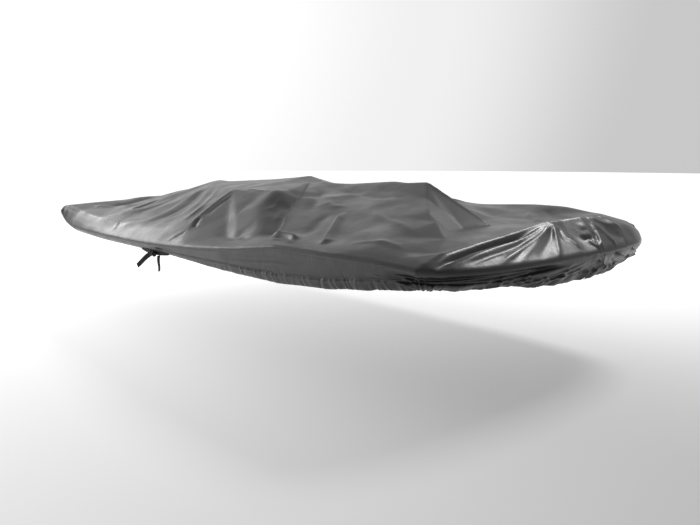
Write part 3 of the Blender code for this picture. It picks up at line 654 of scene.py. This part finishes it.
def coated_cloth(name, look):
    """Smooth polyester with a thin coating: a fine weave under small crumples and a little mottling."""
    made = bpy.data.materials.new(name)
    made.use_nodes = True
    nodes, links = made.node_tree.nodes, made.node_tree.links
    shader = nodes["Principled BSDF"]
    place = nodes.new("ShaderNodeTexCoord").outputs["Object"]

    def noise_at(scale, detail, roughness):
        made_noise = nodes.new("ShaderNodeTexNoise")
        made_noise.inputs["Scale"].default_value = scale
        made_noise.inputs["Detail"].default_value = detail
        made_noise.inputs["Roughness"].default_value = roughness
        links.new(place, made_noise.inputs["Vector"])
        return made_noise

    mottle = noise_at(look.mottle, 5.0, 0.62)
    colours = nodes.new("ShaderNodeValToRGB")
    colours.color_ramp.elements[0].position = 0.36
    colours.color_ramp.elements[0].color = look.colour
    colours.color_ramp.elements[1].position = 0.66
    colours.color_ramp.elements[1].color = look.pale
    links.new(mottle.outputs["Fac"], colours.inputs["Fac"])
    links.new(colours.outputs["Color"], shader.inputs["Base Color"])
    wear = nodes.new("ShaderNodeMapRange")
    wear.inputs["From Min"].default_value = 0.35
    wear.inputs["From Max"].default_value = 0.65
    wear.inputs["To Min"].default_value = look.roughness
    wear.inputs["To Max"].default_value = look.worn
    links.new(noise_at(look.mottle * 2.3, 4.0, 0.6).outputs["Fac"], wear.inputs["Value"])
    links.new(wear.outputs["Result"], shader.inputs["Roughness"])
    shader.inputs["Specular IOR Level"].default_value = 0.75

    # The crumples, the grain of the coating and the threads stand one on the other.
    normal = None
    for scale, detail, strength, deep in (
        (CRUMPLE_SCALE, 3.0, look.crumple, 0.0030),
        (GRAIN_SCALE, 2.0, look.crumple * 0.5, 0.0006),
    ):
        bump = nodes.new("ShaderNodeBump")
        bump.inputs["Strength"].default_value = strength
        bump.inputs["Distance"].default_value = deep
        links.new(noise_at(scale, detail, 0.5).outputs["Fac"], bump.inputs["Height"])
        if normal:
            links.new(normal, bump.inputs["Normal"])
        normal = bump.outputs["Normal"]
    for band in ("X", "Y"):
        threads = nodes.new("ShaderNodeTexWave")
        threads.bands_direction = band
        threads.inputs["Scale"].default_value = THREAD_SCALE
        threads.inputs["Distortion"].default_value = 0.6
        links.new(place, threads.inputs["Vector"])
        bump = nodes.new("ShaderNodeBump")
        bump.inputs["Strength"].default_value = 0.10
        bump.inputs["Distance"].default_value = 0.0001
        links.new(threads.outputs["Fac"], bump.inputs["Height"])
        links.new(normal, bump.inputs["Normal"])
        normal = bump.outputs["Normal"]
    links.new(normal, shader.inputs["Normal"])
    return made


top.data.materials.append(coated_cloth("coated_cloth", TOP_LOOK))
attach(top, "root")
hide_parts("top_panel")

# ---------------------------------------------------------------- skirt
# One strip of the same coated cloth, its colour darker than the top's as painted shade, sewn all round
# under the rim, its ends meeting at a seam in the bow. It stands in gathers above the elastic hem, most of
# all round the bow.
COLUMNS = 2000
UPPER_ROWS = 22
CASING_ROWS = 22
ROWS = UPPER_ROWS + CASING_ROWS
SEAM_AT = 0.144  # share across the bow
SEAM_LAP = 0.010  # the skirt's top edge lies this far up behind the rim
SEAM_INSET = 0.0016
SEAM_OVERLAP = 0.012
SEAM_STEP = 0.0016
PUCKER = 0.0014
FINE_STEP = 0.0022
COARSE_STEP = 0.0120
TURN_OVER = 0.09  # at a corner the skirt turns over this much on each side
FINE_FROM = -1.40  # along the skirt, from the bow's near corner
FINE_TO = 2.10
BLEND = 40  # probes on each side over which fine columns pass into coarse ones


def outline(steps=600):
    """The crease's plan from the skirt's seam round by the far side, as points and distances."""
    seam = (SEAM_AT + 1) / 2
    ring = [(1.0, 2 * t - 1) for t in np.linspace(seam, 1.0, 160)[:-1]]
    ring += [(1 - t, 1.0) for t in np.linspace(0.0, 1.0, steps)[:-1]]
    ring += [(0.0, 1 - 2 * t) for t in np.linspace(0.0, 1.0, 300)[:-1]]
    ring += [(t, -1.0) for t in np.linspace(0.0, 1.0, steps)[:-1]]
    corner = len(ring)
    ring += [(1.0, 2 * t - 1) for t in np.linspace(0.0, seam, 160)]
    flat = np.array([plan(np.array(a), np.array(b)) for a, b in ring])
    distance = np.concatenate(([0.0], np.cumsum(np.hypot(*np.diff(flat, axis=0).T))))
    return flat, distance, distance[corner]


ring, ring_distance, corner_distance = outline()
ring_length = ring_distance[-1]


def from_corner(distance):
    """Distance along the skirt from the bow's near corner, below 0 on the near side and the stern."""
    past = distance - corner_distance
    return np.where(distance < ring_length / 2.6, past + ring_length, past)


# Columns lie closer where the gathers are fine.
probe = np.linspace(0.0, ring_length, 4000)
place = from_corner(probe)
step = np.where((place > FINE_FROM) & (place < FINE_TO), FINE_STEP, COARSE_STEP)
blend = np.ones(2 * BLEND + 1) / (2 * BLEND + 1)
step = np.convolve(np.pad(step, BLEND, mode="edge"), blend, mode="valid")
amount = np.concatenate(([0.0], np.cumsum((1 / step[1:] + 1 / step[:-1]) / 2)))
column_at = np.interp(np.linspace(0.0, 1.0, COLUMNS + 1), amount / amount[-1], probe)
column_at = column_at * (1 + SEAM_OVERLAP / ring_length) - SEAM_OVERLAP / 2


def on_outline(distance):
    """Points of the outline's plan at distances that run on past the seam."""
    both = [np.interp(distance, ring_distance, ring[:, k], period=ring_length) for k in (0, 1)]
    return np.stack(both, axis=1)


flat = on_outline(column_at)
run = on_outline(column_at + TURN_OVER) - on_outline(column_at - TURN_OVER)
run /= np.hypot(*run.T)[:, None]
outwards = np.stack((run[:, 1], -run[:, 0]), axis=1)
if (outwards[0] @ flat[0]) < 0:
    outwards = -outwards
upper = level(flat[:, 0], flat[:, 1], "near_crease", "far_crease") - TURN_DOWN + SEAM_LAP
lower = level(flat[:, 0], flat[:, 1], "near_hem", "far_hem")
tuck = read(SHEERS, flat[:, 0], "tuck")
along_skirt = from_corner(column_at)

# The profile above the hem: the casing that holds the elastic bulges under a line of stitches.
CASING = 0.060
CASING_SHARE = 0.55  # of the skirt's depth, where that is small
FULL_DEPTH = 0.09  # a skirt less deep than this bulges less
TUCK_FROM = 0.15
TUCK_OVER = 0.85
TUCK_CURVE = 1.25
Profile = namedtuple("Profile", "x out")
PROFILE = (
    Profile(0.000, -0.0030),
    Profile(0.006, 0.0035),
    Profile(0.018, 0.0065),
    Profile(0.034, 0.0060),
    Profile(0.042, 0.0010),
    Profile(0.046, -0.0020),
    Profile(0.051, 0.0020),
    Profile(0.062, 0.0035),
    Profile(0.100, 0.0015),
    Profile(0.160, 0.0000),
)

# How deep the gathers stand, how far apart they are and how far up they reach, by distance from
# the bow's near corner.
Gathering = namedtuple("Gathering", "x deep apart reach")
GATHERING = (
    Gathering(-5.20, 0.0030, 0.060, 0.45),
    Gathering(-3.40, 0.0006, 0.050, 0.25),
    Gathering(-1.90, 0.0006, 0.045, 0.25),
    Gathering(-1.60, 0.0014, 0.018, 0.34),
    Gathering(-1.20, 0.0018, 0.017, 0.36),
    Gathering(-0.50, 0.0026, 0.019, 0.40),
    Gathering(-0.16, 0.0056, 0.022, 0.46),
    Gathering(-0.04, 0.0110, 0.016, 0.60),
    Gathering(0.08, 0.0110, 0.016, 0.60),
    Gathering(0.16, 0.0075, 0.024, 0.45),
    Gathering(0.60, 0.0090, 0.028, 0.55),
    Gathering(1.10, 0.0110, 0.032, 0.70),
    Gathering(1.80, 0.0120, 0.036, 0.80),
    Gathering(2.40, 0.0080, 0.040, 0.65),
    Gathering(4.20, 0.0040, 0.055, 0.50),
)

tall = upper - lower
casing = np.minimum(CASING, CASING_SHARE * tall)
upper_rows = (tall - casing)[:, None] * np.linspace(0.0, 1.0, UPPER_ROWS + 1)[None, :-1]
casing_rows = (tall - casing)[:, None] + casing[:, None] * np.linspace(0.0, 1.0, CASING_ROWS + 1)[None, :]
drop = np.concatenate((upper_rows, casing_rows), axis=1)
down = drop / tall[:, None]
above_hem = (tall[:, None] - drop) * np.clip(CASING / casing, 1.0, 2.0)[:, None]
profile_out = read(PROFILE, above_hem, "out") * np.clip(tall / FULL_DEPTH, 0.3, 1.0)[:, None]
profile_tuck = (np.clip(down - TUCK_FROM, 0.0, 1.0) / TUCK_OVER) ** TUCK_CURVE
deep = np.zeros((COLUMNS + 1, ROWS + 1))

# Each gather's size, reach, width and slant, and the space to the next, are drawn between these.
SIZES = (0.35, 1.5)
REACHES = (0.5, 1.5)
WIDTHS = (0.22, 0.42)
SLANTS = (-0.4, 0.4)
SPACES = (0.55, 1.45)
RAISED = 0.55  # share of the gathers that stand out; the others are sunk
NEARBY = 0.10
draws = Random(20)
at = 0.0
while at < ring_length:
    here = float(from_corner(np.array(at)))
    apart = float(read(GATHERING, here, "apart"))
    size = float(read(GATHERING, here, "deep")) * draws.uniform(*SIZES)
    reach = min(0.95, float(read(GATHERING, here, "reach")) * draws.uniform(*REACHES))
    width = apart * draws.uniform(*WIDTHS)
    slant = draws.uniform(*SLANTS) + 0.5 * float(np.clip(here / 0.5, -0.4, 1.0))
    sign = 1.0 if draws.random() < RAISED else -1.0
    first, last = np.searchsorted(column_at, (at - NEARBY, at + NEARBY))
    if last > first:
        height = 1 - down[first:last]
        centre = at + slant * height * tall[first:last, None]
        spread = width * (1 + 0.9 * height)
        away = np.abs(column_at[first:last, None] - centre) / spread
        fade = np.clip(1 - height / reach, 0.0, 1.0) ** 0.8
        deep[first:last] += sign * size * fade * np.exp(-away**1.5)
    at += apart * draws.uniform(*SPACES)

# Long drag folds, by distance and way down. Most run out from the bunch at the bow's near corner.
DRAGS = (
    Fold("corner round", ((0.0, 0.02), (0.0, 0.08), (0.0, 0.14)), -0.02, 0.085, 0.09, 2.0, 0.0, 0.1, 0.1),
    Fold("corner undercut", ((-0.16, 0.04), (-0.02, 0.034), (0.12, 0.029), (0.46, 0.025), (0.8, 0.022)),
         -0.027, 0.014, 0.013, 2.0, 0.0, 0.12, 0.3),
    Fold("corner long", ((0.04, 0.04), (0.16, 0.034), (0.34, 0.028), (0.55, 0.024)),
         0.005, 0.004, 0.005, 1.6, 0.2, 0.1, 0.35),
    Fold("corner belly", ((0.02, 0.06), (0.18, 0.056), (0.38, 0.05), (0.6, 0.046)),
         0.006, 0.01, 0.009, 1.8, 0.0, 0.1, 0.35),
    Fold("corner second", ((0.1, 0.092), (0.26, 0.082), (0.46, 0.066), (0.72, 0.048)),
         0.01, 0.006, 0.007, 1.6, 0.2, 0.15, 0.35),
    Fold("corner second trough", ((0.3, 0.052), (0.46, 0.042), (0.62, 0.032), (0.8, 0.022)),
         -0.01, 0.005, 0.006, 1.8, 0.0, 0.15, 0.35),
    Fold("bow third", ((0.44, 0.086), (0.6, 0.07), (0.8, 0.044), (0.92, 0.024)),
         0.0119, 0.005, 0.007, 1.6, 0.2, 0.15, 0.35),
    Fold("bow fourth", ((0.62, 0.09), (0.78, 0.072), (0.92, 0.046)),
         0.0102, 0.005, 0.007, 1.6, 0.2, 0.15, 0.35),
    Fold("bow fourth trough", ((0.58, 0.07), (0.72, 0.054), (0.88, 0.03)),
         -0.0093, 0.005, 0.006, 1.8, 0.0, 0.15, 0.35),
    Fold("bow fifth", ((0.98, 0.03), (1.05, 0.07), (1.12, 0.1)),
         0.0119, 0.008, 0.009, 1.6, 0.2, 0.15, 0.25),
    Fold("bow sixth", ((1.12, 0.016), (1.24, 0.05), (1.33, 0.09)), 0.0136, 0.008, 0.01, 1.6, 0.2, 0.2, 0.2),
    Fold("bow sixth trough", ((1.1, 0.03), (1.2, 0.064), (1.28, 0.1)),
         -0.0119, 0.008, 0.01, 1.8, 0.0, 0.2, 0.2),
    Fold("bow seventh", ((1.3, 0.016), (1.42, 0.05), (1.5, 0.09)), 0.0136, 0.008, 0.01, 1.6, 0.2, 0.2, 0.2),
    Fold("near corner drag", ((-0.02, 0.072), (-0.08, 0.06), (-0.16, 0.052), (-0.26, 0.048)),
         0.007, 0.006, 0.008, 1.8, 0.2, 0.1, 0.4),
    Fold("near corner second", ((-0.03, 0.05), (-0.09, 0.038), (-0.18, 0.03)),
         0.006, 0.006, 0.007, 1.8, 0.2, 0.1, 0.4),
    Fold("near long", ((-1.62, 0.06), (-1.2, 0.104), (-0.84, 0.118), (-0.45, 0.108)),
         0.003, 0.006, 0.008, 1.8, 0.3, 0.2, 0.3),
    Fold("near sag", ((-1.5, 0.04), (-1.1, 0.07), (-0.7, 0.08), (-0.36, 0.066)),
         0.003, 0.014, 0.018, 2.0, 0.0, 0.25, 0.3),
    Fold("near sag hollow", ((-1.3, 0.03), (-0.9, 0.05), (-0.56, 0.05)),
         -0.0025, 0.012, 0.014, 2.0, 0.0, 0.25, 0.3),
)
deep += fold_heights(DRAGS, np.repeat(along_skirt, ROWS + 1), drop.reshape(-1)).reshape(deep.shape)

# Nothing of this shows at the sewn edge, where the stitches pucker the cloth.
SEWN_FLAT = 0.14
PUCKER_FADES = 0.12
LAP_FROM = 0.05
LAP_OVER = 0.03
HEM_WAVE = 0.0035
deep *= np.clip(down / SEWN_FLAT, 0.0, 1.0)
pucker = np.array([noise.noise((a * 75.0, 1.7, 0.0)) for a in along_skirt])
deep += PUCKER * pucker[:, None] * np.exp(-down / PUCKER_FADES)
away = profile_out - tuck[:, None] * profile_tuck + deep - SEAM_INSET
away += SEAM_STEP * np.clip((column_at - ring_length + LAP_FROM) / LAP_OVER, 0.0, 1.0)[:, None]
wave = np.array([
    noise.noise((a * 9.0, 3.1, 0.0)) + 0.6 * noise.noise((a * 31.0, 7.7, 0.0)) for a in along_skirt])
hem_wave = HEM_WAVE * wave * np.clip(read(GATHERING, along_skirt, "deep") / 0.004, 0.1, 1.2)

skirt, places = flat_grid("skirt_cloth", COLUMNS, ROWS)
column = np.rint((places[:, 0] + 1) / 2 * COLUMNS).astype(int)
row = np.rint((1 - places[:, 1]) / 2 * ROWS).astype(int)
spot = flat[column] + outwards[column] * away[column, row][:, None]
height = upper[column] - drop[column, row] + hem_wave[column] * down[column, row] ** 3
shape_grid(skirt, np.stack((spot[:, 0], spot[:, 1], height), axis=1))
bpy.ops.object.mode_set(mode="EDIT")
bpy.ops.mesh.select_all(action="SELECT")
bpy.ops.mesh.normals_make_consistent(inside=False)
bpy.ops.object.mode_set(mode="OBJECT")
bpy.ops.object.shade_smooth()
skirt.data.materials.append(coated_cloth("skirt_cloth", SKIRT_SHADED_LOOK))
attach(skirt, "root")
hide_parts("skirt")

# ---------------------------------------------------------------- tie: band
# A length of black webbing that lies along the hem on the near side and narrows to its two ends.
WEBBING_WIDTH = 0.024
WEBBING = 0.0016
BAND_ENDS = (-0.555, -0.225)
BAND_LIFT = 0.004
BAND_END_WIDTH = 0.30
BAND_OUT = 0.006
BAND_SAG = 0.004
BAND_STEPS = 48
RIBS = 36.0  # scale of the ribs that lie across a strap


def webbing_look():
    """Black webbing: a ribbed weave across its width, a little dusty."""
    made = bpy.data.materials.new("black_webbing")
    made.use_nodes = True
    nodes, links = made.node_tree.nodes, made.node_tree.links
    shader = nodes["Principled BSDF"]
    coordinates = nodes.new("ShaderNodeTexCoord")
    dust = nodes.new("ShaderNodeTexNoise")
    dust.inputs["Scale"].default_value = 60.0
    links.new(coordinates.outputs["Object"], dust.inputs["Vector"])
    colours = nodes.new("ShaderNodeValToRGB")
    colours.color_ramp.elements[0].color = (0.004, 0.004, 0.004, 1.0)
    colours.color_ramp.elements[1].color = (0.014, 0.014, 0.015, 1.0)
    links.new(dust.outputs["Fac"], colours.inputs["Fac"])
    links.new(colours.outputs["Color"], shader.inputs["Base Color"])
    ribs = nodes.new("ShaderNodeTexWave")
    ribs.inputs["Scale"].default_value = RIBS
    links.new(coordinates.outputs["UV"], ribs.inputs["Vector"])
    bump = nodes.new("ShaderNodeBump")
    bump.inputs["Strength"].default_value = 0.6
    bump.inputs["Distance"].default_value = 0.0006
    links.new(ribs.outputs["Fac"], bump.inputs["Height"])
    links.new(bump.outputs["Normal"], shader.inputs["Normal"])
    shader.inputs["Roughness"].default_value = 0.75
    return made


webbing = webbing_look()


def strap(name, centres, widths, across_steps=8):
    """A strap along the centres, as wide as the vectors, from a grid that is given its thickness."""
    centres, widths = np.array(centres), np.array(widths)
    steps = len(centres) - 1
    made, places = flat_grid(name, steps, across_steps)
    k = np.rint((places[:, 0] + 1) / 2 * steps).astype(int)
    shape_grid(made, centres[k] + widths[k] * (places[:, 1:2] / 2))
    thick = made.modifiers.new("thickness", "SOLIDIFY")
    thick.thickness = WEBBING
    thick.offset = 0.0
    bpy.ops.object.modifier_apply(modifier=thick.name)
    bpy.ops.object.shade_smooth()
    made.data.materials.append(webbing)
    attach(made, "root")
    return made


def near_hem(x):
    """The y and height at which the webbing passes the hem on the near side, at x."""
    along_side = (x - stern_edge(1.0)) / (bow_edge(-1.0) - stern_edge(1.0))
    edge = float(plan(along_side, -1.0)[1])
    return edge + float(read(SHEERS, x, "tuck")) - BAND_OUT, float(read(SHEERS, x, "near_hem"))


centres, widths = [], []
for k in range(BAND_STEPS + 1):
    share = k / BAND_STEPS
    x = BAND_ENDS[0] + (BAND_ENDS[1] - BAND_ENDS[0]) * share
    y, z = near_hem(x)
    bulge = math.sin(math.pi * share)
    size = BAND_END_WIDTH + (1 - BAND_END_WIDTH) * bulge**0.6
    centres.append((x, y - BAND_OUT * bulge - WEBBING, z + BAND_LIFT - BAND_SAG * bulge))
    widths.append((0.0, 0.0, WEBBING_WIDTH * size))
band = strap("tie_band_cloth", centres, widths)
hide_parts("tie_band")

# ---------------------------------------------------------------- tie: knot
# The webbing is knotted once on the band: a lumpy core with two turns round it.
KNOT_X = -0.378
KNOT_DROP = 0.004
KNOT_CORE = (0.084, 0.018, 0.024)
Turn = namedtuple("Turn", "radius_x radius_y width tilt shift")
TURNS = (
    Turn(0.0155, 0.0125, 0.021, 14.0, 0.010),
    Turn(0.0150, 0.0118, 0.019, -22.0, -0.016),
)
y, z = near_hem(KNOT_X)
knot_y = y - BAND_OUT - 2 * WEBBING - KNOT_CORE[1] / 2
knot_at = Vector((KNOT_X, knot_y, z - KNOT_DROP)) - HELD_AT

deselect()
bpy.ops.mesh.primitive_uv_sphere_add(segments=40, ring_count=24, radius=0.5)
knot = bpy.context.object
knot.name = "tie_knot_cloth"
for vertex in knot.data.vertices:
    co = vertex.co
    outward = co.normalized()
    lumps = 1.0 + 0.16 * noise.noise(outward * 2.6) + 0.05 * noise.noise(outward * 7.0)
    vertex.co = Vector(co[n] * size * lumps for n, size in enumerate(KNOT_CORE)) + knot_at
turns = [knot]
for turn in TURNS:
    deselect()
    bpy.ops.mesh.primitive_cylinder_add(vertices=48, radius=1.0, depth=1.0, end_fill_type="NOTHING")
    loop = bpy.context.object
    for vertex in loop.data.vertices:
        x, y, z = vertex.co
        vertex.co = Vector((z * turn.width, x * turn.radius_y, y * turn.radius_x))
    loop.rotation_euler = (0.0, math.radians(turn.tilt), 0.0)
    loop.location = knot_at + Vector((turn.shift, 0.0, 0.0))
    bpy.ops.object.transform_apply(location=True, rotation=True, scale=False)
    thick = loop.modifiers.new("thickness", "SOLIDIFY")
    thick.thickness = WEBBING
    bpy.ops.object.modifier_apply(modifier=thick.name)
    turns.append(loop)
deselect()
for loop in turns:
    loop.select_set(True)
bpy.context.view_layer.objects.active = knot
bpy.ops.object.join()
bpy.ops.object.shade_smooth()
knot.data.materials.append(webbing)
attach(knot, "root")
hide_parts("tie_knot")

# ---------------------------------------------------------------- tie: tails
# The webbing's two free ends, cut square, one seen flat and one edge on. The long one leaves the
# knot. The short one starts 24 mm clear of it, which is a known fault: it should leave the knot too.
Tail = namedtuple("Tail", "name replaces starts runs face length droop turn flat")
TAILS = (
    Tail("tie_tail_long_cloth", "tie_tail_long", (-0.028, -0.002, -0.006), (-0.80, -0.36, -0.62),
         (0.6, -1.0, 0.0), 0.118, 0.004, 0.25, 0.027),
    Tail("tie_tail_short_cloth", "tie_tail_short", (0.076, -0.002, -0.004), (0.22, -0.18, -0.95),
         (0.45, -1.0, 0.0), 0.084, 0.003, 0.40, 0.020),
)
TAIL_STEPS = 24
TAIL_SWAY = 0.003
for tail in TAILS:
    runs = Vector(tail.runs).normalized()
    across = runs.cross(Vector(tail.face)).normalized()
    start = knot_at + HELD_AT + Vector(tail.starts)
    centres, widths = [], []
    for k in range(TAIL_STEPS + 1):
        share = k / TAIL_STEPS
        sway = TAIL_SWAY * math.sin(5.0 * share + tail.turn)
        centres.append(start + runs * tail.length * share - Vector((0.0, sway, tail.droop * share**2)))
        angle = tail.turn * share
        turned = across * math.cos(angle) + runs.cross(across) * math.sin(angle)
        widths.append(turned * tail.flat)
    end = strap(tail.name, centres, widths)
    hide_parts(tail.replaces)
